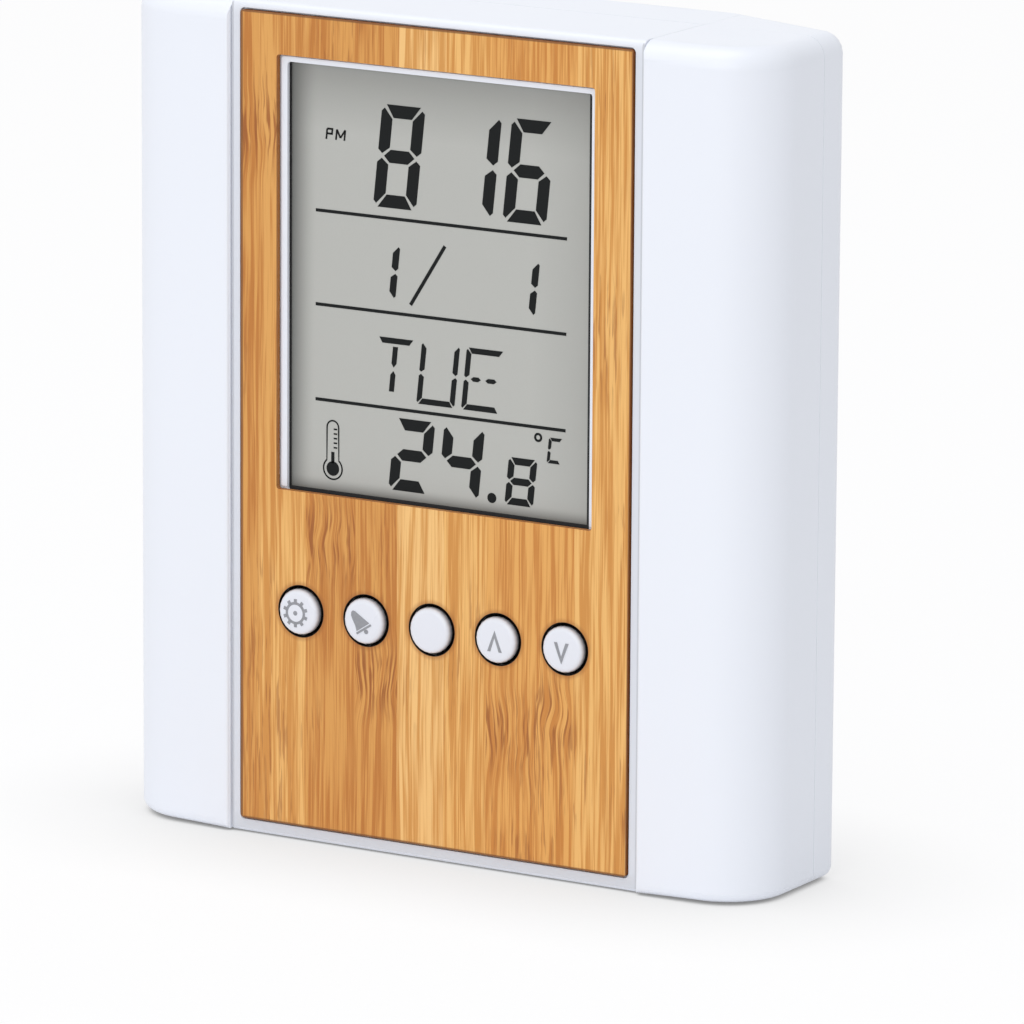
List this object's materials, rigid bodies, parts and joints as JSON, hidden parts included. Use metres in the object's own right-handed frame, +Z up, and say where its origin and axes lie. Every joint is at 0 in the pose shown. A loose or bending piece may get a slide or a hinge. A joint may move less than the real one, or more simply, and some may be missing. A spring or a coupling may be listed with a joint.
{
  "type": "desk clock pen holder",
  "caption": "Upright desk clock with a bamboo front, recessed display and row of keys, between two rounded white wings that slide out sideways with open-topped pen trays.",
  "frame": {"origin": "centre of the base, on the surface that it stands on, with the wings closed", "axes": "+X to the right of the display, +Y to the back, +Z up"},
  "size_m": [0.092, 0.027, 0.1051],
  "materials": {
    "white_abs": "satin white ABS",
    "key_abs": "satin white ABS keys",
    "inner_abs": "matt white ABS",
    "bamboo": "vertical-grain bamboo, satin lacquer",
    "display": "grey display glass, opaque",
    "board": "green solder mask",
    "black_part": "black moulding",
    "rubber": "conductive silicone",
    "steel": "nickel plated",
    "brass": "plain",
    "cell_jacket": "plain printed jacket"
  },
  "bodies": {
    "clock_body": {"front_housing": "white_abs", "rear_housing": "white_abs", "bamboo_panel": "bamboo", "lcd_glass": "display", "zebra_strip": "rubber", "main_pcb": "board", "chip_blob": "black_part", "crystal_can": "steel", "thermistor": "black_part", "piezo_buzzer": "brass", "clock_back_plate": "inner_abs", "battery_cell": "cell_jacket", "positive_contact": "steel", "negative_contact": "steel", "tact_switch_1": "black_part", "tact_switch_2": "black_part", "tact_switch_3": "black_part", "tact_switch_4": "black_part", "tact_switch_5": "black_part", "housing_screw_1": "steel", "housing_screw_2": "steel", "housing_screw_3": "steel", "pcb_screw_1": "steel", "pcb_screw_2": "steel", "pcb_screw_3": "steel", "pcb_screw_4": "steel"},
    "left_wing": {"left_wing_front_shell": "white_abs", "left_wing_rear_shell": "white_abs", "left_pen_tray": "white_abs", "left_wing_screw_1": "steel", "left_wing_screw_2": "steel"},
    "right_wing": {"right_wing_front_shell": "white_abs", "right_wing_rear_shell": "white_abs", "right_pen_tray": "white_abs", "right_wing_screw_1": "steel", "right_wing_screw_2": "steel"},
    "battery_flap": {"battery_door": "white_abs"},
    "button_1": {"button_cap_1": "key_abs", "switch_plunger_1": "black_part"},
    "button_2": {"button_cap_2": "key_abs", "switch_plunger_2": "black_part"},
    "button_3": {"button_cap_3": "key_abs", "switch_plunger_3": "black_part"},
    "button_4": {"button_cap_4": "key_abs", "switch_plunger_4": "black_part"},
    "button_5": {"button_cap_5": "key_abs", "switch_plunger_5": "black_part"}
  },
  "joints": [
    {"name": "left_wing_slide", "type": "slide", "parent": "clock_body", "child": "left_wing", "axis": [-1, 0, 0], "range_m": [0, 0.0185]},
    {"name": "right_wing_slide", "type": "slide", "parent": "clock_body", "child": "right_wing", "axis": [1, 0, 0], "range_m": [0, 0.0185]},
    {"name": "battery_door_hinge", "type": "hinge", "parent": "clock_body", "child": "battery_flap", "pos_m": [0, 0.0126, 0.07055], "axis": [1, 0, 0], "range_deg": [0, 85]},
    {"name": "button_1_press", "type": "slide", "parent": "clock_body", "child": "button_1", "axis": [0, 1, 0], "range_m": [0, 0.0005], "stiffness_N_per_m": 1500},
    {"name": "button_2_press", "type": "slide", "parent": "clock_body", "child": "button_2", "axis": [0, 1, 0], "range_m": [0, 0.0005], "stiffness_N_per_m": 1500},
    {"name": "button_3_press", "type": "slide", "parent": "clock_body", "child": "button_3", "axis": [0, 1, 0], "range_m": [0, 0.0005], "stiffness_N_per_m": 1500},
    {"name": "button_4_press", "type": "slide", "parent": "clock_body", "child": "button_4", "axis": [0, 1, 0], "range_m": [0, 0.0005], "stiffness_N_per_m": 1500},
    {"name": "button_5_press", "type": "slide", "parent": "clock_body", "child": "button_5", "axis": [0, 1, 0], "range_m": [0, 0.0005], "stiffness_N_per_m": 1500}
  ]
}
